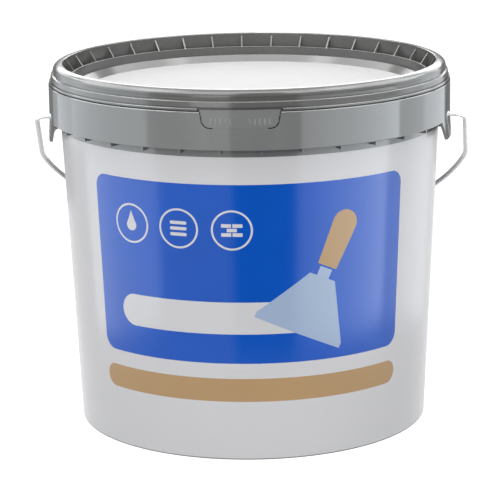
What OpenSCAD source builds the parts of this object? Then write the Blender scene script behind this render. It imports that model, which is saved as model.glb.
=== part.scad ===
// Round lever-lid tub for ready-mixed wall filler, with a snap lid, tear tab and wire bail.
// Millimetres, +Z up. The origin is the centre of the base on the floor, and the tear tab faces -Y.

/* [Tub wall] */
// Outer radius of the wall at the floor
base_r = 144.5; // [120:0.1:170]
// Draft angle of the wall from the vertical, in degrees
wall_draft = 2.6; // [0.5:0.1:3.5]
// Wall thickness
wall_t = 2; // [1.6:0.1:3]
// Height of the wall below the collar
neck_z = 252.4; // [180:0.1:320]
// Thickness of the base panel
base_t = 2.5; // [1.8:0.1:4]
// How far the base panel is raised above the foot ring
foot_h = 4; // [2:0.5:8]
// Radial width of the foot ring, with its rounded edge
foot_w = 4.6; // [3.5:0.1:8]
// Radius of the foot's outer edge
foot_round = 0.7; // [0.3:0.1:0.8]
// Chamfer inside the tub between wall and base
inner_chamfer = 5; // [2:0.5:10]

/* [Rim and collar] */
// How far the rim lip stands outside the wall's line
lip_step = 1.4; // [1.2:0.1:6]
// Thickness of the rim lip
lip_t = 2.2; // [1.6:0.1:3]
// Height of the lip above the collar
lip_h = 14.1; // [12:0.1:20]
// How far the snap bead stands out of the lip
lip_bead = 1.4; // [0.6:0.1:2]
// Height of the collar
collar_h = 29.4; // [24:0.1:40]
// Wall thickness of the collar
collar_t = 2.2; // [1.6:0.1:3]
// Underside of the web that carries the collar, above the collar's lower edge
web_z = 14.8; // [11:0.1:18]
// Thickness of that web
web_t = 2; // [1.5:0.1:3]
// Number of stiffening ribs under the web, a multiple of four
collar_ribs = 32; // [16:4:48]
// Thickness of a stiffening rib
collar_rib_t = 1.6; // [1:0.1:2.5]
// How far the ribs reach below the collar
rib_drop = 3.4; // [0:0.1:5]

/* [Bail ears] */
// Half width of an ear where it leaves the collar
ear_top_w = 52; // [42:1:60]
// Half width of an ear at its lower edge
ear_low_w = 38; // [20:1:50]
// How far an ear hangs below the collar
ear_h = 15.9; // [10:0.1:25]
// How far an ear leans out at its lower edge
ear_lean = 1; // [0:0.1:2]
// Height of the bail pivot below the collar's lower edge
pivot_drop = 1.4; // [0:0.1:4]

/* [Tear tab] */
// Half width of the tab along its top edge
tab_top_w = 30.8; // [20:0.1:40]
// Half width of the film hinge along its lower edge
tab_hinge_w = 21; // [12:0.1:26]
// Height of the tab
tab_h = 13.7; // [11:0.1:15]
// How far the tab's top edge stands above the collar
tab_rise = 1.9; // [0.5:0.1:2.5]
// How much narrower the tab is on each side above its round corners
tab_taper = 1.6; // [0:0.1:3]
// Radius of the tab's lower corners
tab_corner = 6.2; // [3:0.1:8]
// Width of the slit round the tab
tab_slit = 0.9; // [0.5:0.1:1.5]
// Gap along the film hinge
hinge_gap = 0.35; // [0.3:0.05:0.6]
// Width of a break-off bridge across the slit
bridge_w = 1.2; // [0.6:0.1:2]

/* [Lid] */
// Wall thickness of the lid
lid_t = 1.8; // [1.4:0.1:2.4]
// Depth of the stacking seat below the rim
recess_d = 17.8; // [14:0.1:22]
// Height of the stacking ring above its seat
ring_h = 6.7; // [5:0.1:10]
// Width of the seat inside the stacking ring
seat_w = 3.2; // [2.6:0.1:5]
// Depth of the sunken panel below the seat, with an edge that slopes at 45 degrees
dish_d = 5.6; // [3:0.1:7]
// Thickness of the stacking ring
ring_t = 1.6; // [1.2:0.1:2.4]
// Number of radial ribs in the lid's trough
lid_ribs = 36; // [20:4:60]
// Thickness of a lid rib
lid_rib_t = 1.3; // [0.9:0.1:2]
// How far below the rim the lid ribs start
rib_top_drop = 1.6; // [1:0.1:6]
// Height of the rounded outer edge of the rim
rim_round = 4.9; // [2:0.1:5]
// Width of the flat top of the rim
rim_flat = 1.2; // [0.8:0.1:4]
// How far the rim stands inside the shoulder
rim_inset = 2.2; // [1:0.1:2.5]
// Height of the hollow neck below the rim
neck_h = 3.2; // [2:0.1:4]
// Depth of the neck
neck_d = 2.6; // [1:0.1:3]
// Height of the shoulder below the neck
shoulder_h = 4.2; // [3:0.1:5]
// Height of the groove above the lowest bead
groove_h = 1; // [0.6:0.1:1.4]
// Depth of that groove
groove_d = 0.9; // [0.4:0.1:1.2]
// Height of the lowest bead
bead_h = 2.2; // [1.2:0.1:2.6]
// How far the shoulder stands inside the collar's face
shoulder_inset = 1.6; // [1:0.1:2]
// How far the lowest bead stands inside the collar's face
bead_inset = 0.6; // [0.3:0.1:0.9]

/* [Labels] */
// Thickness of the label films
label_t = 0.3; // [0.2:0.05:0.5]
// Lower edge of the wrap label above the floor
label_low = 0.9; // [0.9:0.1:10]
// Bare strip between the wrap label and the collar
label_strip = 6.7; // [4:0.1:30]
// Bare seam where the wrap label's ends meet at the back
label_seam = 3; // [1:0.5:10]

/* [Bail] */
// Wire diameter
wire_d = 4; // [3:0.1:5]
// How far the bail's legs stand outside the collar
bail_reach = 12.7; // [11:0.1:16]
// Bend radius of the wire's shoulder outside the ear
shoulder_bend = 8; // [5:0.1:9]
// Length of the straight leg
bail_leg = 54; // [20:1:80]
// Outward slope of the leg, in degrees
leg_splay = 3; // [0:0.5:6]
// Bend radius at the end of the leg
hip_bend = 50; // [20:1:120]
// Slope of the wire where the hip bend ends, in degrees
hip_turn = 14; // [8:1:24]
// Bend radius of the kink beside the grip
kink_bend = 12; // [8:1:20]
// Angle of the kink beside the grip, in degrees
kink_turn = 14; // [6:1:20]
// Length of the hooked end inside the ear
hook_tail = 4.5; // [3:0.5:6]
// Gap between the ear and the bend of the hooked end
hook_clear = 0.6; // [0.4:0.1:1.5]
// Bend radius of the hooked end
hook_bend = 3.2; // [2.6:0.1:4]

/* [Grip] */
// Length of the grip
grip_len = 92; // [70:1:110]
// Largest radius of the grip
grip_r = 10; // [8:0.1:12]
// Depth of the finger grooves round the grip
grip_groove = 0.8; // [0:0.1:1.2]
// Number of finger grooves
grip_grooves = 5; // [3:1:7]

/* [Filler] */
// Headspace between the filler and the lid panel
headspace = 24.5; // [8:0.1:120]

/* [Clearances] */
// Gap between the lid and the lip's top edge, on which it rests
seat_gap = 0.3; // [0.2:0.05:0.5]
// Radial gap between the lid's plug wall and the lip
plug_gap = 0.4; // [0.3:0.05:0.6]
// Radial gap between the lip's bead and the lid's snap bead
snap_gap = 0.3; // [0.25:0.05:0.5]
// How far the snap bead stands out of the lid's skirt
snap_bead = 0.9; // [0.5:0.1:1.2]
// Radial gap between the lid's skirt and the collar
collar_gap = 0.9; // [0.5:0.1:1.5]
// Gap between the lid's lowest bead and the collar's top edge
bead_gap = 0.5; // [0.4:0.1:1.3]
// Gap between the lid's skirt and the collar's web
skirt_gap = 2; // [1:0.1:3]
// Gap between a film or the filler and the wall it lies on
film_gap = 0.08; // [0.02:0.01:0.1]
// Radial gap round the wire in the ears and in the grip
wire_gap = 0.3; // [0.1:0.05:0.5]
// Gap between a stacked tub's wall and the stacking ring
stack_gap = 1.2; // [0.2:0.1:2]
// Gap between the hanging grip and the wall
rest_gap = 0.3; // [0.2:0.1:1]

/* [Hidden] */
$fn = 96;

grey = [0.52, 0.53, 0.53];
film_white = [0.93, 0.93, 0.94];
steel = [0.78, 0.79, 0.8];
paste = [0.94, 0.93, 0.9];

slope = tan(wall_draft);
function wall_r(z) = base_r + z * slope;
function wall_in(z) = wall_r(z) - wall_t / cos(wall_draft);
// Points of an arc about c with radius r from angle a to angle b, in n steps
function arc(c, r, a, b, n) = [for (i = [0:n]) c + r * [cos(a + (b - a) * i / n), sin(a + (b - a) * i / n)]];

// Rings of the rim, from the inside out: lip, lid skirt, collar
lip_in = wall_in(neck_z) + lip_step;
lip_out = lip_in + lip_t;
snap_r = lip_out + lip_bead + snap_gap;
skirt_in = snap_r + snap_bead;
skirt_out = skirt_in + lid_t;
collar_in = skirt_out + collar_gap;
collar_r = collar_in + collar_t;

// Levels of the rim, from the bottom up
collar_top = neck_z + collar_h;
lip_top = collar_top + lip_h;
web_low = neck_z + web_z;
web_top = web_low + web_t;
flare_h = 9;
flare_z = web_low - flare_h;
edge = 0.5;

// Levels of the lid
lid_ceiling = lip_top + seat_gap;
lid_top = lid_ceiling + lid_t;
seat_top = lid_top - recess_d;
seat_low = seat_top - lid_t;
panel_top = seat_top - dish_d;
panel_low = panel_top - lid_t;
bead_low = collar_top + bead_gap;
bead_top = bead_low + bead_h;
groove_top = bead_top + groove_h;
shoulder_top = groove_top + shoulder_h;
neck_top = shoulder_top + neck_h;

// Rings of the lid
plug_out = lip_in - plug_gap;
plug_in = plug_out - lid_t;
plug_lean = lid_t / 2;
bead_r = collar_r - bead_inset;
shoulder_r = collar_r - shoulder_inset;
groove_r = shoulder_r - groove_d;
neck_r = shoulder_r - neck_d;
ring_in = wall_r(0) + stack_gap;
dish_out = ring_in - seat_w;
dish_in = dish_out - dish_d;
rim_out = plug_in + rim_flat;
rim_r = shoulder_r - rim_inset;
round_h = min(rim_round, lid_top - neck_top);
round_w = rim_r - rim_out;

// Bail: the pivot, the wire's outline in its own plane, and the angle at which the grip rests
pivot_z = neck_z - pivot_drop;
wire_r = wire_d / 2;
wire_trim = 0.15;
core_in = 0.15;
core_step = 0.02;
leg_x = collar_r + bail_reach;
grip_slack = 2;
seat_half = grip_len / 2 + grip_slack;
hook_x = collar_in - hook_clear;
hip_x = leg_x + bail_leg * sin(leg_splay) - hip_bend * (cos(leg_splay) - cos(hip_turn));
kink_end = 90 - kink_turn;
main_bend = (hip_x - seat_half - kink_bend * cos(kink_end)) / (cos(hip_turn) - cos(kink_end));
hip_v = shoulder_bend * (1 - sin(leg_splay)) + bail_leg * cos(leg_splay);
main_v = hip_v + hip_bend * (sin(hip_turn) + sin(leg_splay));
kink_v = main_v + main_bend * (sin(kink_end) - sin(hip_turn));
bail_v = kink_v + kink_bend * (1 - sin(kink_end));
grip_off = (grip_r + rest_gap) / cos(wall_draft);
function rest_angle(a, n) =
    n == 0 ? a : rest_angle(asin((wall_r(pivot_z - bail_v * cos(a)) + grip_off) / bail_v), n - 1);
bail_angle = rest_angle(50, 20);

// Tear tab: it never reaches below the web, and cutters for it run out past the collar's face
tab_top = collar_top + tab_rise;
tab_low = max(tab_top - tab_h, web_top + hinge_gap);
tab_low_w = tab_top_w - tab_taper;
past_front = collar_r + 2;

// Filler
base_top = foot_h + base_t;
fill_z = panel_low - headspace;

module tub_body() {
    color(grey) difference() {
        union() {
            tub_shell();
            collar_rib_ring();
            for (side = [0, 180]) rotate(side) ear();
        }
        for (side = [0, 180]) rotate(side) ear_hole();
        tab_window();
    }
}

// Wall, base, flared lip, web and collar as one turned shell
module tub_shell() {
    cut = label_t + film_gap;
    label_high = neck_z - label_strip;
    gate_r = 9;
    gate_d = 0.8;
    floor_r = wall_in(base_top + inner_chamfer) - inner_chamfer;
    bead_z = bead_low + lip_bead / 2;
    rotate_extrude() polygon(concat(
        [[0, foot_h + gate_d], [gate_r, foot_h + gate_d], [gate_r, foot_h]],
        [[base_r - foot_w, foot_h], [base_r - foot_w, 0]],
        arc([wall_r(foot_round) - foot_round, foot_round], foot_round, -90, 0, 6),
        [[wall_r(label_low), label_low], [wall_r(label_low) - cut, label_low]],
        [[wall_r(label_high) - cut, label_high], [wall_r(label_high), label_high]],
        [[wall_r(flare_z), flare_z], [lip_out, web_low]],
        [[collar_in, web_low], [collar_in, neck_z], [collar_r - edge, neck_z], [collar_r, neck_z + edge]],
        [[collar_r, collar_top - edge], [collar_r - edge, collar_top], [collar_in, collar_top]],
        [[collar_in, web_top], [lip_out, web_top]],
        [[lip_out, bead_z], [lip_out + lip_bead, bead_z + lip_bead]],
        [[lip_out + lip_bead, bead_z + 2 * lip_bead], [lip_out, bead_z + 4 * lip_bead]],
        [[lip_out, lip_top - edge], [lip_out - edge, lip_top], [lip_in + edge, lip_top]],
        [[lip_in, lip_top - edge], [lip_in, web_top], [wall_in(flare_z), flare_z]],
        [[wall_in(base_top + inner_chamfer), base_top + inner_chamfer], [floor_r, base_top], [0, base_top]]
    ));
}

// Plates between the wall and the collar, half a pitch to each side of the tab's centre line
module collar_rib_ring() {
    low = neck_z - rib_drop;
    pitch = 360 / collar_ribs;
    inner = wall_t / 2;
    set_back = 0.2;
    step = collar_in - set_back;
    seat = collar_in + collar_t / 2;
    top = web_low + web_t / 2;
    outline = [
        [wall_r(low) - inner, low], [step, low], [step, neck_z + edge], [seat, neck_z + edge],
        [seat, top], [lip_out - inner, top], [wall_r(flare_z) - inner, flare_z]
    ];
    for (i = [0:collar_ribs - 1])
        rotate([90, 0, pitch * (i + 0.5) - 90])
            linear_extrude(collar_rib_t, center = true) polygon(outline);
}

// Trapezoid plate that carries on the collar downward and leans out a little, on the +X side
module ear() {
    low = neck_z - ear_h;
    high = neck_z + edge;
    intersection() {
        rotate_extrude() polygon([
            [collar_in + ear_lean, low], [collar_r + ear_lean, low], [collar_r, high], [collar_in, high]
        ]);
        rotate([90, 0, 90]) linear_extrude(collar_r + ear_lean + 1) polygon([
            [-ear_top_w, high], [-ear_low_w, low], [ear_low_w, low], [ear_top_w, high]
        ]);
    }
}

module ear_hole() {
    translate([collar_in - collar_t, 0, pivot_z]) rotate([0, 90, 0])
        cylinder(h = 3 * collar_t, r = wire_r + wire_gap);
}

// Front outline of the tab, grown by the slit for the window
module tab_outline(grow, low) {
    r = tab_corner + grow;
    half = tab_low_w + grow;
    top_half = tab_top_w + grow;
    high = tab_top + grow;
    polygon([
        [-half, low + r], [-half + r, low], [half - r, low], [half, low + r],
        [top_half, high], [-top_half, high]
    ]);
    for (side = [-1, 1]) translate([side * (half - r), low + r]) circle(r);
}

module collar_shell(inner, outer) {
    translate([0, 0, web_top]) difference() {
        cylinder(h = collar_h, r = outer);
        translate([0, 0, -1]) cylinder(h = collar_h + 2, r = inner);
    }
}

// Window in the collar: the slit runs round the corners and narrows to the film hinge
module tab_window() {
    intersection() {
        collar_shell(collar_in - collar_gap / 2, past_front);
        rotate([90, 0, 0]) linear_extrude(past_front) difference() {
            tab_outline(tab_slit, tab_low - tab_slit);
            translate([-tab_hinge_w, 0]) square([2 * tab_hinge_w, tab_low - hinge_gap]);
        }
    }
}

module tear_tab() {
    color(grey) union() {
        intersection() {
            collar_shell(collar_in, collar_r);
            rotate([90, 0, 0]) linear_extrude(past_front) tab_outline(0, tab_low);
        }
        for (side = [-1, 1], share = [0.5, 0.85]) tab_bridge(side, share);
    }
}

// Break-off bridge, cracked open at the collar's end so that the tab can fold out
module tab_bridge(side, share) {
    crack = 0.2;
    tall = tab_top - tab_low;
    z = tab_low + tall * share - tab_rise;
    half = tab_low_w + tab_taper * (z - tab_low - tab_corner) / (tall - tab_corner);
    reach = tab_slit - crack;
    intersection() {
        collar_shell(collar_in + collar_t / 3, collar_r - edge / 4);
        rotate([90, 0, 0]) linear_extrude(past_front)
            translate([side * (half + (reach - edge) / 2), z]) square([reach + edge, bridge_w], center = true);
    }
}

module wrap_label() {
    high = neck_z - label_strip;
    seam = label_seam / wall_r(high) * 180 / PI;
    color(film_white) rotate(90 + seam / 2) rotate_extrude(angle = 360 - seam) polygon([
        [wall_r(label_low) - label_t, label_low + film_gap], [wall_r(label_low), label_low + film_gap],
        [wall_r(high), high - film_gap], [wall_r(high) - label_t, high - film_gap]
    ]);
}

module lid() {
    color(grey) difference() {
        union() {
            lid_shell();
            lid_rib_ring();
        }
        finger_notch();
    }
}

// Sunken panel, stacking seat and ring, plug wall, rim and stepped skirt as one turned shell
module lid_shell() {
    ring_top = seat_top + ring_h;
    skin = lid_t * tan(22.5);
    lean = ring_h * slope;
    upper_in = neck_r - lid_t;
    step_z = shoulder_top - lid_t;
    snap_z = collar_top - edge;
    skirt_low = web_top + skirt_gap;
    chamfer = 1.2;
    rotate_extrude() polygon(concat(
        [[0, panel_low], [dish_in + skin, panel_low], [dish_out + skin, seat_low]],
        [[plug_out - plug_lean - chamfer, seat_low], [plug_out - plug_lean, seat_low + chamfer]],
        [[plug_out, lid_ceiling - chamfer], [plug_out + chamfer, lid_ceiling], [upper_in - chamfer, lid_ceiling]],
        [[upper_in, lid_ceiling - chamfer], [upper_in, step_z + 1], [skirt_in, step_z]],
        [[skirt_in, snap_z], [snap_r, snap_z - snap_bead], [snap_r, snap_z - 2 * snap_bead]],
        [[skirt_in, snap_z - 4 * snap_bead], [skirt_in, skirt_low], [skirt_out - edge, skirt_low]],
        [[skirt_out, skirt_low + edge], [skirt_out, bead_low], [bead_r - edge, bead_low]],
        [[bead_r, bead_low + edge], [bead_r, bead_top - edge], [bead_r - edge, bead_top]],
        [[groove_r, bead_top], [groove_r, groove_top], [shoulder_r, groove_top]],
        [[shoulder_r - edge, shoulder_top - edge], [shoulder_r - 2 * edge, shoulder_top]],
        [[neck_r, shoulder_top + edge], [neck_r, neck_top - edge], [rim_r - edge, neck_top]],
        [for (a = arc([0, 0], 1, 0, 90, 8)) [rim_out + round_w * a.x, lid_top - round_h * (1 - a.y)]],
        [[plug_in + edge, lid_top], [plug_in, lid_top - edge]],
        [[plug_in - plug_lean, seat_top], [ring_in + ring_t, seat_top]],
        [[ring_in + lean + ring_t, ring_top], [ring_in + lean, ring_top], [ring_in, seat_top]],
        [[dish_out, seat_top], [dish_in, panel_top], [0, panel_top]]
    ));
}

// Radial ribs across the trough, with tops that slope from the rim down to the stacking ring
module lid_rib_ring() {
    pitch = 360 / lid_ribs;
    inner = ring_in + ring_t / 2;
    outer = plug_in + lid_t / 4;
    low = seat_top - lid_t / 2;
    outline = [
        [inner, low], [outer - plug_lean, low],
        [outer, lid_top - rib_top_drop], [inner, seat_top + ring_h - edge]
    ];
    for (i = [0:lid_ribs - 1])
        rotate([90, 0, pitch * (i + 0.5) - 90])
            linear_extrude(lid_rib_t, center = true) polygon(outline);
}

// Notch in the lowest bead above the tear tab, where fingers lift the lid
module finger_notch() {
    half = tab_top_w + 2 * tab_slit;
    depth = bead_h + bead_gap;
    intersection() {
        translate([-half, -collar_r - 1, bead_top - depth]) cube([2 * half, collar_r, depth]);
        translate([0, 0, bead_top - depth]) difference() {
            cylinder(h = depth, r = collar_r + 1);
            translate([0, 0, -1]) cylinder(h = depth + 2, r = skirt_out);
        }
    }
}

module lid_label() {
    color(film_white) translate([0, 0, panel_top]) cylinder(h = label_t, r = dish_in - edge);
}

// Places a child from the bail's own plane, where x runs across and y away from the pivot
module in_bail() {
    translate([0, 0, pivot_z]) rotate([bail_angle - 90, 0, 0]) children();
}

// Runs and bends stop just short of each other, and a slightly thinner core joins them
module wire_core() {
    half = wire_trim + core_in;
    translate([-half, 0, 0]) rotate([0, 90, 0]) cylinder(h = 2 * half, r = wire_r - core_step);
}

module wire_straight(from, to) {
    if (to > from) translate([from, 0, 0]) rotate([0, 90, 0]) cylinder(h = to - from, r = wire_r);
}

// A bend to the right from the origin, where the wire arrives along +X
module wire_bend(bend, turn) {
    trim = wire_trim / bend * 180 / PI;
    translate([0, -bend, 0]) rotate(90 - turn + trim)
        rotate_extrude(angle = turn - 2 * trim) translate([bend, 0]) circle(wire_r);
}

// Each step is a bend to the right and then a straight run
module wire_run(steps, i = 0) {
    bend = steps[i][0];
    turn = steps[i][1];
    run = steps[i][2];
    last = i == len(steps) - 1;
    wire_core();
    wire_bend(bend, turn);
    translate([bend * sin(turn), -bend * (1 - cos(turn)), 0]) rotate(-turn) {
        if (run > 0) wire_core();
        wire_straight(wire_trim, last ? run : run - wire_trim);
        if (!last) translate([run, 0, 0]) wire_run(steps, i + 1);
    }
}

// One arm of the bail, from the end of the grip's seat to the hooked end inside the ear
module bail_arm() {
    shoulder_x = leg_x - shoulder_bend * cos(leg_splay);
    translate([seat_half, bail_v, 0]) wire_run([
        [kink_bend, kink_turn, 0],
        [main_bend, kink_end - hip_turn, 0],
        [hip_bend, hip_turn + leg_splay, bail_leg],
        [shoulder_bend, 90 - leg_splay, shoulder_x - hook_x],
        [hook_bend, 90, hook_tail]
    ]);
}

module bail_wire() {
    seat = seat_half - wire_trim;
    color(steel) in_bail() {
        translate([0, bail_v, 0]) wire_straight(-seat, seat);
        bail_arm();
        mirror([1, 0, 0]) bail_arm();
    }
}

// Tube that turns on the straight middle of the wire, with shallow finger grooves
module bail_grip() {
    half = grip_len / 2;
    pitch = grip_len / (grip_grooves + 1);
    flat = pitch * 0.55;
    end_round = 2;
    bore = wire_r + wire_gap;
    steps = [for (i = [1:grip_grooves]) each [
        [grip_r, -half + i * pitch - flat / 2], [grip_r - grip_groove, -half + i * pitch - flat / 4],
        [grip_r - grip_groove, -half + i * pitch + flat / 4], [grip_r, -half + i * pitch + flat / 2]
    ]];
    color(grey) in_bail() translate([0, bail_v, 0]) rotate([0, 90, 0]) rotate_extrude() polygon(concat(
        [[bore, -half], [grip_r - end_round, -half], [grip_r, -half + end_round]],
        steps,
        [[grip_r, half - end_round], [grip_r - end_round, half], [bore, half]]
    ));
}

module filler() {
    low = base_top + film_gap;
    bevel = inner_chamfer;
    color(paste) rotate_extrude() polygon([
        [0, low], [wall_in(base_top + bevel) - bevel - film_gap, low],
        [wall_in(base_top + bevel) - film_gap, base_top + bevel + film_gap],
        [wall_in(fill_z) - film_gap, fill_z], [0, fill_z]
    ]);
}

tub_body();
tear_tab();
wrap_label();
lid();
lid_label();
bail_wire();
bail_grip();
filler();
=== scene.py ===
"""Looks of the wall filler tub: finishes, print, trowelled paste, studio and camera. Metres, +Z up."""
import math

import bmesh
import bpy
from mathutils import Matrix, Vector, noise


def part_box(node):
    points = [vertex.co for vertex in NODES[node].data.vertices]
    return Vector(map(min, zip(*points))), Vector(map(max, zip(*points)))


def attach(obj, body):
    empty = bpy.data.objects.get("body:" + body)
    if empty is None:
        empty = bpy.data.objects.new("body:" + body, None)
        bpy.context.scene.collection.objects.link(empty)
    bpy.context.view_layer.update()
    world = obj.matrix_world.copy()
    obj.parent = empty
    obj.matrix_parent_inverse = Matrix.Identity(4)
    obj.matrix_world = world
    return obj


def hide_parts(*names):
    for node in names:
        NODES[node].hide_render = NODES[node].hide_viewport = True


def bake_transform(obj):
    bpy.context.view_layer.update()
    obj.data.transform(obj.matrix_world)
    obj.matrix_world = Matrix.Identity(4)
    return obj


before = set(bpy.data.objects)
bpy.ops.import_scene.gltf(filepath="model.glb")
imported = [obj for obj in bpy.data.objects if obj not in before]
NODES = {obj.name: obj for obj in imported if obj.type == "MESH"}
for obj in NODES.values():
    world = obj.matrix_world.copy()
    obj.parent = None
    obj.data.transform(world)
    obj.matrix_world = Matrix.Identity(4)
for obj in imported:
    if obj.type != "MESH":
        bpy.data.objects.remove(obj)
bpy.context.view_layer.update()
MM = 0.001
UP = Vector((0, 0, 1))

# Sizes read from the frame
TUB_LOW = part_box("tub_body")[0]
TAB_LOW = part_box("tear_tab")[0]
FILL_LOW, FILL_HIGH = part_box("filler")
COLLAR_R = -TUB_LOW[1]

# Wall of the tub, and the mean radius at which the label's print is laid out flat
BASE_R = 144.5 * MM
WALL_SLOPE = math.tan(math.radians(2.6))
WALL_T = 2 * MM
PRINT_R = 150 * MM

# Flat top of the lid's stacking ring, which gets a painted highlight in place of the light a rounded
# edge would catch: its radii, height and tolerance
RING_IN = 145.9 * MM
RING_OUT = 147.65 * MM
RING_TOP = 286.9 * MM
RING_SLACK = 0.1 * MM

# Film hinge along the tear tab's lower edge: half its length, the slit it closes and its lap
HINGE_HALF = 20.6 * MM
HINGE_HIGH = TAB_LOW[2]
HINGE_LOW = HINGE_HIGH - 0.35 * MM
HINGE_LAP = 0.04 * MM

# Layout of the generic label print, across and up from the front of the tub's base
PANEL_CENTRE = (4 * MM, 152 * MM)
PANEL_HALF = (134 * MM, 72 * MM)
PANEL_CORNER = 11 * MM
BAND_CENTRE = (4 * MM, 58 * MM)
BAND_HALF = (134 * MM, 9.5 * MM)
BAND_CORNER = 9.5 * MM
STROKE_CENTRE = (-20 * MM, 117 * MM)
STROKE_HALF = (86 * MM, 13 * MM)
STROKE_CORNER = 13 * MM
KNIFE_CENTRE = (62 * MM, 146 * MM)
KNIFE_SIZE = 76 * MM
KNIFE_LEAN = math.radians(-24)
BADGE_ACROSS = (-92 * MM, -50 * MM, -8 * MM)
BADGE_UP = 188 * MM
BADGE_R = 16 * MM
BADGE_LINE = 1.6 * MM
MARK_SIZE = 11 * MM
BRICK_MARK_SIZE = 12 * MM

# Camera that matches the photograph, which is taken as 500 by 492 pixels
IMAGE_W = 500
FOCAL_PX = 2266.9
CAMERA_BACK = 1.8499
CAMERA_UP = 0.5771
CAMERA_AIM = Vector((-1.36 * MM, 0, 139.6 * MM))
CAMERA_AZIMUTH = math.radians(2.6)
CAMERA_ROLL = -0.014
CAMERA_NEAR = 0.05
CAMERA_FAR = 100
SENSOR_MM = 36

# Point that the lamps face
LAMP_AIM = Vector((0, 0, 0.17))

# Spans that hold most values of a noise texture, for roughness and for tints
NOISE_LOW = 0.3
NOISE_HIGH = 0.7
TINT_LOW = 0.25
TINT_HIGH = 0.75

# Colour sockets of the Mix node
MIX_A = 6
MIX_B = 7
MIX_RESULT = 2


def srgb(r, g, b):
    """Linear colour from 0-255 screen values."""
    def linear(c):
        c /= 255
        return c / 12.92 if c <= 0.04045 else ((c + 0.055) / 1.055) ** 2.4
    return (linear(r), linear(g), linear(b), 1)


# Colours of the plastics and their wear
GREY = srgb(124, 126, 126)
LID_GREY = srgb(99, 100, 98)
GRIP_GREY = srgb(96, 98, 98)
BAR_GREY = srgb(140, 142, 141)
EDGE_GREY = srgb(196, 198, 198)
SCUFF_GREY = srgb(180, 182, 182)
# Painted highlight along the flat top of the lid's stacking ring
RING_HIGHLIGHT_GREY = srgb(212, 213, 211)

# Colours of the films, the print, the wire and the paste
FILM_WHITE = srgb(229, 229, 232)
LID_WHITE = srgb(238, 238, 239)
PRINT_BLUE = srgb(0, 90, 204)
PRINT_TAN = srgb(196, 160, 114)
BLADE_BLUE = srgb(176, 196, 226)
STEEL = srgb(182, 183, 184)
PASTE = srgb(236, 232, 222)

# Colours of the studio
WHITE = (1, 1, 1, 1)
FLOOR_WHITE = srgb(142, 142, 142)
FLAG_BLACK = (0.01, 0.01, 0.01, 1)
SHINE_BLUE = (0.86, 0.94, 1.0)
SHINE_WHITE = (1, 1, 1)


class Graph:
    """Builds the node tree of one material around its Principled shader."""

    def __init__(self, name):
        self.material = bpy.data.materials.new(name)
        self.material.use_nodes = True
        self.tree = self.material.node_tree
        self.shader = self.tree.nodes["Principled BSDF"]

    def node(self, kind, **settings):
        made = self.tree.nodes.new(kind)
        for key, value in settings.items():
            setattr(made, key, value)
        return made

    def feed(self, socket, value):
        """Links a socket to another one, or sets it to a plain value."""
        if isinstance(value, bpy.types.NodeSocket):
            self.tree.links.new(value, socket)
        else:
            socket.default_value = value

    def math(self, operation, a, b=0.0, c=0.0):
        made = self.node("ShaderNodeMath", operation=operation)
        for socket, value in zip(made.inputs, (a, b, c)):
            self.feed(socket, value)
        return made.outputs[0]

    def vector(self, operation, a, b=(0, 0, 0)):
        made = self.node("ShaderNodeVectorMath", operation=operation)
        self.feed(made.inputs[0], a)
        self.feed(made.inputs[1], b)
        gives_number = operation in ("DOT_PRODUCT", "DISTANCE", "LENGTH")
        return made.outputs["Value" if gives_number else "Vector"]

    def place(self, stretch=(1, 1, 1)):
        """Position on the piece in metres, stretched per axis."""
        coords = self.node("ShaderNodeTexCoord").outputs["Object"]
        return self.vector("MULTIPLY", coords, stretch)

    def noise(self, place, scale, detail=2.0, roughness=0.5):
        made = self.node("ShaderNodeTexNoise")
        self.feed(made.inputs["Vector"], place)
        made.inputs["Scale"].default_value = scale
        made.inputs["Detail"].default_value = detail
        made.inputs["Roughness"].default_value = roughness
        return made.outputs["Fac"]

    def remap(self, value, low, high, to_low, to_high):
        made = self.node("ShaderNodeMapRange")
        for socket, item in zip(made.inputs, (value, low, high, to_low, to_high)):
            self.feed(socket, item)
        return made.outputs[0]

    def spread(self, value, to_low, to_high):
        """Noise taken from its usual span to a range."""
        return self.remap(value, NOISE_LOW, NOISE_HIGH, to_low, to_high)

    def mask(self, value, low, high, most=1):
        """0 up to low, rising to most at high."""
        return self.remap(value, low, high, 0, most)

    def mix(self, factor, a, b, blend="MIX"):
        made = self.node("ShaderNodeMix", data_type="RGBA", blend_type=blend)
        self.feed(made.inputs["Factor"], factor)
        self.feed(made.inputs[MIX_A], a)
        self.feed(made.inputs[MIX_B], b)
        return made.outputs[MIX_RESULT]

    def tint(self, colour, value, spread):
        """Colour made darker and lighter by a 0-1 value."""
        level = self.remap(value, TINT_LOW, TINT_HIGH, 1 - spread, 1 + spread)
        grey = self.node("ShaderNodeCombineColor")
        for socket in grey.inputs:
            self.feed(socket, level)
        return self.mix(1.0, colour, grey.outputs[0], "MULTIPLY")

    def bump(self, height, distance, strength, under=None):
        """Bumped normal, on top of another one where under gives it."""
        made = self.node("ShaderNodeBump")
        made.inputs["Strength"].default_value = strength
        made.inputs["Distance"].default_value = distance
        self.feed(made.inputs["Height"], height)
        if under:
            self.feed(made.inputs["Normal"], under)
        return made.outputs[0]

    def finish(self, **inputs):
        """Feeds the shader, where base_color is its Base Color and so on. Returns the material."""
        for key, value in inputs.items():
            socket = key.replace("_", " ").title().replace("Ior", "IOR")
            self.feed(self.shader.inputs[socket], value)
        return self.material


def ring_top(g):
    """Mask of the flat top of the stacking ring."""
    out = g.vector("LENGTH", g.place(stretch=(1, 1, 0)))
    up = g.vector("LENGTH", g.place(stretch=(0, 0, 1)))
    past_inside = g.math("GREATER_THAN", out, RING_IN)
    within = g.math("MULTIPLY", past_inside, g.math("LESS_THAN", out, RING_OUT))
    return g.math("MULTIPLY", within, g.math("COMPARE", up, RING_TOP, RING_SLACK))


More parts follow.
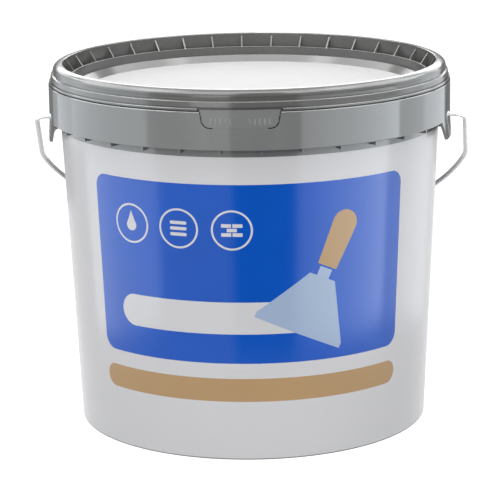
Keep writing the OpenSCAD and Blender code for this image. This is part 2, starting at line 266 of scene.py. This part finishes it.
def moulded_plastic(name, colour, gloss, wear=0.12, painted_ring_highlight=False):
    """Injection-moulded polypropylene: flow marks, fine grain, rubbed edges and dull scuffs, and where
    asked a painted highlight on the stacking ring's top.
    """
    flow_dulls = 0.05
    scuff_dulls = 0.10
    scuff_shows = 0.10
    g = Graph(name)
    flow = g.noise(g.place(stretch=(1, 1, 0.25)), scale=38, detail=3)
    grain = g.noise(g.place(), scale=1500)
    scuff = g.noise(g.place(stretch=(1, 1, 2.6)), scale=160, detail=4, roughness=0.65)
    rub = g.mask(scuff, low=0.60, high=0.74)
    pointed = g.node("ShaderNodeNewGeometry").outputs["Pointiness"]
    edge = g.mask(pointed, low=0.52, high=0.62, most=wear)
    base = g.mix(edge, g.tint(colour, flow, spread=0.05), EDGE_GREY)
    base = g.mix(g.math("MULTIPLY", rub, scuff_shows), base, SCUFF_GREY)
    # Painted highlight on the flat top of the stacking ring, made patchy by the scuff noise
    if painted_ring_highlight:
        patchy = g.remap(scuff, low=0.3, high=0.6, to_low=0.7, to_high=1)
        base = g.mix(g.math("MULTIPLY", ring_top(g), patchy), base, RING_HIGHLIGHT_GREY)
    smooth = g.spread(flow, gloss, gloss + flow_dulls)
    rough = g.math("ADD", smooth, g.math("MULTIPLY", rub, scuff_dulls))
    flowed = g.bump(flow, distance=0.10 * MM, strength=0.5)
    normal = g.bump(grain, distance=0.02 * MM, strength=0.5, under=flowed)
    return g.finish(base_color=base, roughness=rough, normal=normal, ior=1.49)


def drawn_steel(name):
    """Bright galvanised wire with draw lines and a faint zinc bloom."""
    g = Graph(name)
    bloom = g.noise(g.place(), scale=420, detail=3)
    lines = g.noise(g.place(stretch=(0.12, 1, 1)), scale=2600)
    base = g.tint(STEEL, bloom, spread=0.10)
    rough = g.spread(bloom, to_low=0.16, to_high=0.34)
    normal = g.bump(lines, distance=0.015 * MM, strength=0.6)
    return g.finish(base_color=base, roughness=rough, metallic=1.0, normal=normal)


def trowelled_paste(name):
    """Damp off-white filler with fine mineral grain and pin holes."""
    cloud_share = 0.7
    grain_share = 0.3
    g = Graph(name)
    place = g.place()
    cloud = g.noise(place, scale=24, detail=4)
    grain = g.noise(place, scale=900, detail=3, roughness=0.6)
    pores = g.mask(g.noise(place, scale=340), low=0.30, high=0.36)
    clouded = g.math("MULTIPLY", cloud, cloud_share)
    shade = g.math("ADD", clouded, g.math("MULTIPLY", grain, grain_share))
    base = g.tint(PASTE, shade, spread=0.06)
    rough = g.spread(cloud, to_low=0.42, to_high=0.62)
    grained = g.bump(grain, distance=0.12 * MM, strength=0.7)
    normal = g.bump(pores, distance=0.25 * MM, strength=0.5, under=grained)
    return g.finish(base_color=base, roughness=rough, normal=normal, ior=1.4)


def plain_film(name, colour, rough_low):
    """Plain label film: a slight ripple, fine orange peel and faint handling marks."""
    ripple_dulls = 0.04
    marks_dull = 0.06
    g = Graph(name)
    place = g.place()
    cloud = g.noise(place, scale=14, detail=3)
    ripple = g.noise(place, scale=26)
    peel = g.noise(place, scale=900)
    smears = g.noise(g.place(stretch=(1, 3, 1)), scale=90, detail=5, roughness=0.7)
    marks = g.mask(smears, low=0.58, high=0.72)
    base = g.tint(colour, cloud, spread=0.015)
    smooth = g.spread(ripple, rough_low, rough_low + ripple_dulls)
    rough = g.math("ADD", g.math("MULTIPLY", marks, marks_dull), smooth)
    rippled = g.bump(ripple, distance=0.08 * MM, strength=0.4)
    normal = g.bump(peel, distance=0.006 * MM, strength=0.5, under=rippled)
    return g.finish(base_color=base, roughness=rough, normal=normal, ior=1.1)


class Print:
    """Shapes of a flat print, as masks over (across, up) in metres."""

    def __init__(self, graph, spot):
        self.g = graph
        self.spot = spot

    def disc(self, centre, radius):
        away = self.g.vector("DISTANCE", self.spot, (*centre, 0))
        return self.g.math("LESS_THAN", away, radius)

    def ring(self, centre, radius, line):
        return self.less(self.disc(centre, radius), self.disc(centre, radius - line))

    def panel(self, centre, half, corner):
        """Rectangle with round corners."""
        away = self.g.vector("ABSOLUTE", self.g.vector("SUBTRACT", self.spot, (*centre, 0)))
        outside = self.g.vector("SUBTRACT", away, (half[0] - corner, half[1] - corner, 1))
        reach = self.g.vector("LENGTH", self.g.vector("MAXIMUM", outside, (0, 0, 0)))
        return self.g.math("LESS_THAN", reach, corner)

    def polygon(self, points):
        """Convex outline, with its points in anticlockwise order."""
        inside = None
        for a, b in zip(points, points[1:] + points[:1]):
            normal = Vector((b[1] - a[1], a[0] - b[0], 0)).normalized()
            limit = normal.x * a[0] + normal.y * a[1]
            reach = self.g.vector("DOT_PRODUCT", self.spot, normal)
            side = self.g.math("LESS_THAN", reach, limit)
            inside = side if inside is None else self.g.math("MULTIPLY", inside, side)
        return inside

    def either(self, *masks):
        joined = masks[0]
        for mask in masks[1:]:
            joined = self.g.math("MAXIMUM", joined, mask)
        return joined

    def less(self, mask, cut):
        return self.g.math("MULTIPLY", mask, self.g.math("SUBTRACT", 1.0, cut))


def knife_motif(p, centre, size, lean):
    """Filling knife with a flared blade, a neck and a rounded handle, drawn one unit wide.

    Returns the masks of the blade with its neck and of the handle.
    """
    knob = (0, 0.62)
    knob_r = 0.14
    turn = Matrix.Rotation(lean, 2)

    def spot(x, y):
        moved = turn @ Vector((x * size, y * size))
        return (centre[0] + moved.x, centre[1] + moved.y)

    def outline(*points):
        return p.polygon([spot(x, y) for x, y in points])

    blade = outline((-0.50, -0.62), (0.50, -0.62), (0.50, -0.56),
                    (0.15, 0.02), (-0.15, 0.02), (-0.50, -0.56))
    neck = outline((-0.07, 0.0), (0.07, 0.0), (0.07, 0.12), (-0.07, 0.12))
    shaft = outline((-0.11, 0.14), (0.11, 0.14), (0.14, 0.62), (-0.14, 0.62))
    return p.either(blade, neck), p.either(shaft, p.disc(spot(*knob), knob_r * size))


def drop_motif(p, centre, size):
    """Water drop: a disc with a pointed cap."""
    x, y = centre
    cap_half = 0.38 * size
    cap_high = 0.95 * size
    disc_down = 0.12 * size
    disc_r = 0.42 * size
    cap = p.polygon([(x - cap_half, y), (x + cap_half, y), (x, y + cap_high)])
    return p.either(p.disc((x, y - disc_down), disc_r), cap)


def layers_motif(p, centre, size):
    """Three level coats."""
    x, y = centre
    pitch = 0.42 * size
    half = (0.62 * size, 0.12 * size)
    corner = 0.11 * size
    return p.either(*[p.panel((x, y + step * pitch), half, corner) for step in (-1, 0, 1)])


def brick_motif(p, centre, size):
    """Wall of staggered bricks."""
    x, y = centre
    bricks = [(-0.36, 0.30), (0.36, 0.30), (0.0, 0.0), (-0.36, -0.30), (0.36, -0.30)]
    half = (0.32 * size, 0.12 * size)
    corner = 0.03 * size
    return p.either(*[p.panel((x + a * size, y + b * size), half, corner) for a, b in bricks])


def printed_film(name):
    """White wrap film with a generic print: a blue panel, a tan band and plain pictograms."""
    ink_gloss = 0.03
    g = Graph(name)
    place = g.place()
    axes = g.node("ShaderNodeSeparateXYZ")
    g.feed(axes.inputs[0], place)
    ahead = g.math("MULTIPLY", axes.outputs["Y"], -1.0)
    turn = g.math("ARCTAN2", axes.outputs["X"], ahead)
    flat = g.node("ShaderNodeCombineXYZ")
    g.feed(flat.inputs["X"], g.math("MULTIPLY", turn, PRINT_R))
    g.feed(flat.inputs["Y"], axes.outputs["Z"])
    p = Print(g, flat.outputs[0])

    panel = p.panel(PANEL_CENTRE, PANEL_HALF, PANEL_CORNER)
    band = p.panel(BAND_CENTRE, BAND_HALF, BAND_CORNER)
    stroke = p.panel(STROKE_CENTRE, STROKE_HALF, STROKE_CORNER)
    blade, handle = knife_motif(p, KNIFE_CENTRE, KNIFE_SIZE, KNIFE_LEAN)
    badges = [(across, BADGE_UP) for across in BADGE_ACROSS]
    rings = [p.ring(spot, BADGE_R, BADGE_LINE) for spot in badges]
    marks = [drop_motif(p, badges[0], MARK_SIZE),
             layers_motif(p, badges[1], MARK_SIZE),
             brick_motif(p, badges[2], BRICK_MARK_SIZE)]
    white = p.either(p.less(stroke, handle), *rings, *marks)

    cloud = g.noise(place, scale=18, detail=3)
    colour = g.tint(FILM_WHITE, cloud, spread=0.012)
    colour = g.mix(panel, colour, g.tint(PRINT_BLUE, cloud, spread=0.05))
    colour = g.mix(band, colour, g.tint(PRINT_TAN, cloud, spread=0.03))
    colour = g.mix(white, colour, FILM_WHITE)
    colour = g.mix(handle, colour, PRINT_TAN)
    colour = g.mix(blade, colour, BLADE_BLUE)

    ripple = g.noise(g.place(stretch=(1, 1, 0.35)), scale=20)
    peel = g.noise(place, scale=1100)
    ink = p.either(panel, band)
    bare = g.spread(ripple, to_low=0.20, to_high=0.25)
    rough = g.math("ADD", bare, g.math("MULTIPLY", ink, -ink_gloss))
    rippled = g.bump(ripple, distance=0.12 * MM, strength=0.35)
    normal = g.bump(peel, distance=0.008 * MM, strength=0.5, under=rippled)
    return g.finish(base_color=colour, roughness=rough, normal=normal, ior=1.4)


def dress(node, material):
    """Gives a frame node its finish."""
    mesh = NODES[node].data
    mesh.materials.clear()
    mesh.materials.append(material)


def new_piece(name, mesh_maker, material):
    """Adds a mesh piece with the given finish."""
    grid = bmesh.new()
    mesh_maker(grid)
    bmesh.ops.recalc_face_normals(grid, faces=grid.faces)
    mesh = bpy.data.meshes.new(name)
    grid.to_mesh(mesh)
    grid.free()
    mesh.materials.append(material)
    piece = bpy.data.objects.new(name, mesh)
    bpy.context.collection.objects.link(piece)
    return piece


def join_rows(grid, rows):
    """Adds the faces between rows of points, where each row is a closed loop."""
    for a, b in zip(rows, rows[1:]):
        for k in range(len(a)):
            j = (k + 1) % len(a)
            grid.faces.new((a[k], a[j], b[j], b[k]))


def wall_inside(z):
    """Radius of the tub's inner wall at a height."""
    return BASE_R + z * WALL_SLOPE - WALL_T / math.cos(math.atan(WALL_SLOPE))


def waves(x, y, per_metre, seed):
    """Smooth noise around 0."""
    return noise.noise(Vector((x * per_metre, y * per_metre, seed)))


def paste_depth(x, y):
    """How far the trowelled surface lies below the filler's level: strokes, ridges and peaks."""
    mean = 2.6
    stroke = 1.3
    ridge = 1.6
    lump = 1.4
    least = 0.15
    stroke_pitch = 7.5 * MM
    drift = 6 * waves(x, y, per_metre=14, seed=3.0)
    ridged = abs(waves(x, y, per_metre=42, seed=8.0))
    lumped = waves(x, y, per_metre=20, seed=1.5)
    swirl = math.sin(math.hypot(x, y) / stroke_pitch - math.atan2(y, x) + drift)
    liveliness = 0.4 + 0.6 * abs(lumped)
    depth = mean + stroke * swirl * liveliness + ridge * ridged - lump * lumped
    return max(least, depth) * MM


def paste_mesh(grid):
    """Closed block with a trowelled top that follows the inside of the tub."""
    rings = 64
    around = 192
    clear = 0.3 * MM
    bevel = 5 * MM
    low = FILL_LOW[2]
    top = FILL_HIGH[2]
    middle = top / 2

    def circle(radius, height):
        made = []
        for i in range(around):
            turn = 2 * math.pi * i / around
            x, y = radius * math.cos(turn), radius * math.sin(turn)
            made.append(grid.verts.new((x, y, height(x, y))))
        return made

    def surface(x, y):
        return top - paste_depth(x, y)

    edge_r = wall_inside(top) - clear
    top_rows = [circle(edge_r * (rings - i) / rings, surface) for i in range(rings)]
    rows = [circle(wall_inside(low) - bevel - clear, lambda x, y: low + clear),
            circle(wall_inside(low + bevel) - clear, lambda x, y: low + bevel + clear),
            circle(wall_inside(middle) - clear, lambda x, y: middle)]
    rows += top_rows
    join_rows(grid, rows)
    grid.faces.new(reversed(rows[0]))
    centre = grid.verts.new((0, 0, surface(0, 0)))
    for i in range(around):
        grid.faces.new((rows[-1][i], rows[-1][(i + 1) % around], centre))
    for face in grid.faces:
        face.smooth = True


def grip_bars(grid):
    """Two groups of raised finger bars on the tear tab, with tops behind its foremost line."""
    steps = (-6, -5, -4, -3, -2, 2, 3, 4, 5, 6)
    pitch = 3.7 * MM
    half_w = 0.75 * MM
    half_h = 2.3 * MM
    middle = TAB_LOW[2] + 4.8 * MM
    most_rise = 0.45 * MM
    knee = 0.6
    taper = 0.3 * MM
    sink = 0.3 * MM
    clear = 0.01 * MM
    for step in steps:
        turn = step * pitch / COLLAR_R
        spin = Matrix.Rotation(turn, 4, "Z")
        front = (COLLAR_R - half_w * math.sin(abs(turn))) / math.cos(turn) - clear
        rise = min(most_rise, front - COLLAR_R)
        rows = []
        for out, shrink in ((-sink, 0), (rise * knee, 0), (rise, taper)):
            w, h = half_w - shrink, half_h - shrink
            y = -(COLLAR_R + out)
            outline = ((-w, -h), (w, -h), (w, h), (-w, h))
            rows.append([grid.verts.new(spin @ Vector((x, y, middle + z))) for x, z in outline])
        join_rows(grid, rows)
        grid.faces.new(reversed(rows[0]))
        grid.faces.new(rows[-1])


def hinge_film(grid):
    """Thin moulded film that joins the tear tab to the collar below it."""
    steps = 28
    levels = 6
    half_turn = HINGE_HALF / COLLAR_R
    skin_r = COLLAR_R - 0.03 * MM
    back_r = COLLAR_R - 0.5 * MM
    low = HINGE_LOW - HINGE_LAP
    high = HINGE_HIGH + HINGE_LAP
    heights = [low + (high - low) * i / levels for i in range(levels + 1)]
    outline = [(skin_r, z) for z in heights] + [(back_r, z) for z in reversed(heights)]
    rows = []
    for i in range(steps + 1):
        turn = half_turn * (2 * i / steps - 1)
        across, ahead = math.sin(turn), -math.cos(turn)
        rows.append([grid.verts.new((r * across, r * ahead, z)) for r, z in outline])
    join_rows(grid, rows)
    grid.faces.new(reversed(rows[0]))
    grid.faces.new(rows[-1])


def dress_object():
    """Gives every node its finish and adds the pieces that the solids leave out."""
    tub_grey = moulded_plastic("tub_grey", GREY, gloss=0.07)
    # The lid's grey carries a painted highlight on the top of its stacking ring
    lid_grey = moulded_plastic("lid_grey", LID_GREY, gloss=0.13, wear=0.06, painted_ring_highlight=True)
    bar_grey = moulded_plastic("bar_grey", BAR_GREY, gloss=0.2)
    dress("tub_body", tub_grey)
    dress("tear_tab", tub_grey)
    dress("lid", lid_grey)
    dress("bail_grip", moulded_plastic("grip_grey", GRIP_GREY, gloss=0.42))
    dress("bail_wire", drawn_steel("galvanised_wire"))
    dress("wrap_label", printed_film("printed_film"))
    dress("lid_label", plain_film("lid_film", LID_WHITE, rough_low=0.58))
    bars = new_piece("tab_grip_bars", grip_bars, bar_grey)
    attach(bars, "tear_tab")
    film = new_piece("tab_hinge_film", hinge_film, tub_grey)
    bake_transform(film)
    paste = new_piece("trowelled_filler", paste_mesh, trowelled_paste("filler_paste"))
    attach(paste, "tub")
    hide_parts("filler")


def seen_rays(tree):
    """1 for rays from the camera, a gloss or a clear piece, which show the backdrop, and else 0."""
    path = tree.nodes.new("ShaderNodeLightPath")
    seen = path.outputs["Is Camera Ray"]
    for ray in ("Is Glossy Ray", "Is Transmission Ray"):
        either = tree.nodes.new("ShaderNodeMath")
        either.operation = "MAXIMUM"
        tree.links.new(seen, either.inputs[0])
        tree.links.new(path.outputs[ray], either.inputs[1])
        seen = either.outputs[0]
    return seen


def ramp(tree, value, first, last):
    """Takes a 0-1 value to a range."""
    made = tree.nodes.new("ShaderNodeMapRange")
    made.inputs["To Min"].default_value = first
    made.inputs["To Max"].default_value = last
    tree.links.new(value, made.inputs["Value"])
    return made.outputs[0]


def plain_floor():
    """Pale floor that shows white to the camera and keeps the tub's shadow."""
    reach = 12
    drop = 0.2 * MM
    glow = 0.89
    mesh = bpy.data.meshes.new("floor")
    corners = [(-reach, -reach, 0), (reach, -reach, 0), (reach, reach, 0), (-reach, reach, 0)]
    mesh.from_pydata(corners, [], [(0, 1, 2, 3)])
    floor = bpy.data.objects.new("floor", mesh)
    floor.location.z = -drop
    bpy.context.collection.objects.link(floor)
    g = Graph("pale_floor")
    shown = g.math("MULTIPLY", seen_rays(g.tree), glow)
    g.finish(base_color=FLOOR_WHITE, roughness=0.9, emission_color=WHITE, emission_strength=shown)
    mesh.materials.append(g.material)


def white_world(ambient):
    """World that shows white and lights the object at the ambient level."""
    world = bpy.data.worlds.new("studio")
    world.use_nodes = True
    tree = world.node_tree
    back = tree.nodes["Background"]
    back.inputs["Color"].default_value = WHITE
    tree.links.new(ramp(tree, seen_rays(tree), ambient, 1), back.inputs["Strength"])
    bpy.context.scene.world = world


def area_lamp(name, width, height, shine_only):
    """Rectangular lamp that the camera doesn't see, and matt surfaces neither if it is for shine."""
    light = bpy.data.lights.new(name, "AREA")
    light.shape = "RECTANGLE"
    light.size, light.size_y = width, height
    lamp = bpy.data.objects.new(name, light)
    lamp.visible_diffuse = not shine_only
    lamp.visible_camera = False
    bpy.context.collection.objects.link(lamp)
    return lamp


def soft_box(name, azimuth, elevation, distance, size, power, shine_only=False):
    """Lamp aimed at the tub. Azimuth 0 is at the front and grows to the right, in degrees."""
    turn, rise = math.radians(azimuth), math.radians(elevation)
    level = math.cos(rise)
    toward = Vector((math.sin(turn) * level, -math.cos(turn) * level, math.sin(rise)))
    lamp = area_lamp(name, *size, shine_only)
    lamp.data.energy = power
    lamp.location = LAMP_AIM + distance * toward
    lamp.rotation_euler = (-toward).to_track_quat("-Z", "Y").to_euler()


def shine_panel(name, start, end, height, first, last, low=0.0, colour=SHINE_BLUE):
    """Upright panel between two plan points, which shows only as a reflection on the tub's gloss.

    Its brightness runs from first to last along the panel, and low is the height of its lower edge.
    """
    a, b = Vector((*start, 0)), Vector((*end, 0))
    lamp = area_lamp(name, (b - a).length, height, shine_only=True)
    light = lamp.data
    light.energy = math.pi * light.size * light.size_y
    light.color = colour
    light.use_nodes = True
    tree = light.node_tree
    along = tree.nodes.new("ShaderNodeSeparateXYZ")
    spot = tree.nodes.new("ShaderNodeNewGeometry").outputs["Parametric"]
    tree.links.new(spot, along.inputs[0])
    level = ramp(tree, along.outputs["X"], first, last)
    tree.links.new(level, tree.nodes["Emission"].inputs["Strength"])
    ahead = (b - a).normalized()
    turn = Matrix((ahead, UP, ahead.cross(UP))).transposed()
    middle = (a + b) / 2 + UP * (low + height / 2)
    lamp.matrix_world = Matrix.Translation(middle) @ turn.to_4x4()


def dark_flag(name, radius, first, last, low, high, glow=0.0):
    """Curved dark card round the tub, between two azimuths, which keeps one stripe of gloss dark."""
    steps = 24
    spots = []
    for i in range(steps + 1):
        turn = math.radians(first + (last - first) * i / steps)
        x, y = radius * math.sin(turn), -radius * math.cos(turn)
        spots += [(x, y, low), (x, y, high)]
    faces = [(2 * i, 2 * i + 2, 2 * i + 3, 2 * i + 1) for i in range(steps)]
    mesh = bpy.data.meshes.new(name)
    mesh.from_pydata(spots, [], faces)
    flag = bpy.data.objects.new(name, mesh)
    bpy.context.collection.objects.link(flag)
    flag.visible_camera = False
    flag.visible_diffuse = False
    flag.visible_transmission = False
    flag.visible_shadow = False
    g = Graph(name)
    g.finish(base_color=FLAG_BLACK, roughness=1.0, emission_color=WHITE, emission_strength=glow)
    mesh.materials.append(g.material)


def main_lamps():
    """Soft boxes that light the object."""
    soft_box("left_box", azimuth=-92, elevation=12, distance=1.7, size=(1.75, 1.5), power=4.5)
    soft_box("right_box", azimuth=78, elevation=12, distance=1.7, size=(1.9, 1.5), power=5)
    soft_box("front_box", azimuth=-6, elevation=19, distance=2.3, size=(2.0, 1.3), power=20)
    soft_box("top_box", azimuth=0, elevation=80, distance=1.3, size=(1.3, 1.3), power=8.5)
    soft_box("back_box", azimuth=180, elevation=24, distance=2.3, size=(2.0, 1.3), power=12)


def shine_lamps():
    """Boxes and panels that only the gloss shows, from the lid down to the collar's stripes."""
    soft_box("top_shine", azimuth=0, elevation=78, distance=1.45, size=(2.6, 1.2), power=36,
             shine_only=True)
    for side, azimuth in (("left", -111), ("right", 111)):
        soft_box(side + "_top_shine", azimuth, elevation=50, distance=1.45, size=(1.35, 1.05), power=18,
                 shine_only=True)
    shine_panel("left_back_panel", start=(-0.331, 0.246), end=(-0.3935, 0.052), height=0.5,
                first=0.5, last=1.5, low=0.17)
    shine_panel("left_panel", start=(-0.3925, 0.050), end=(-0.3433, -0.3237), height=0.9,
                first=2.1, last=2.3)
    shine_panel("right_panel", start=(0.204, -0.413), end=(0.42, -0.082), height=0.25,
                first=0.8, last=5.6)
    shine_panel("right_side_panel", start=(0.42, -0.080), end=(0.405, 0.060), height=0.9,
                first=1.5, last=1.6)
    shine_panel("right_back_panel", start=(0.405, 0.062), end=(0.309, 0.217), height=0.9,
                first=2.3, last=0.7)
    shine_panel("back_panel", start=(1.0, 1.2), end=(-1.0, 1.2), height=0.5,
                first=2.0, last=2.0, low=0.43, colour=SHINE_WHITE)


def flags():
    """Dark cards for the collar's middle and ends and for the ends of the lid's rim."""
    dark_flag("front_flag", radius=0.36, first=-6, last=24, low=0, high=1.2)
    dark_flag("left_flag", radius=0.7, first=-178, last=-126, low=0.12, high=0.425, glow=0.2)
    dark_flag("left_low_flag", radius=0.7, first=-178, last=-126, low=0.035, high=0.12, glow=0.6)
    dark_flag("right_flag", radius=0.7, first=138, last=178, low=0.12, high=0.425, glow=0.2)


def studio():
    plain_floor()
    white_world(ambient=0.32)
    main_lamps()
    shine_lamps()
    flags()


def camera():
    """Camera at the photograph's view, rolled a little about its axis."""
    swing = Matrix.Rotation(CAMERA_AZIMUTH, 3, "Z")
    place = swing @ Vector((0, -CAMERA_BACK, CAMERA_UP))
    ahead = (swing @ CAMERA_AIM - place).normalized()
    right = ahead.cross(UP).normalized()
    up = right.cross(ahead)
    rolled_right = math.cos(CAMERA_ROLL) * right + math.sin(CAMERA_ROLL) * up
    rolled_up = math.cos(CAMERA_ROLL) * up - math.sin(CAMERA_ROLL) * right
    data = bpy.data.cameras.new("camera")
    data.sensor_fit = "HORIZONTAL"
    data.sensor_width = SENSOR_MM
    data.lens = FOCAL_PX / IMAGE_W * SENSOR_MM
    data.clip_start = CAMERA_NEAR
    data.clip_end = CAMERA_FAR
    eye = bpy.data.objects.new("camera", data)
    turn = Matrix((rolled_right, rolled_up, -ahead)).transposed()
    eye.matrix_world = Matrix.Translation(place) @ turn.to_4x4()
    bpy.context.collection.objects.link(eye)
    bpy.context.scene.camera = eye


dress_object()
studio()
camera()
bpy.context.scene.view_settings.view_transform = "Standard"
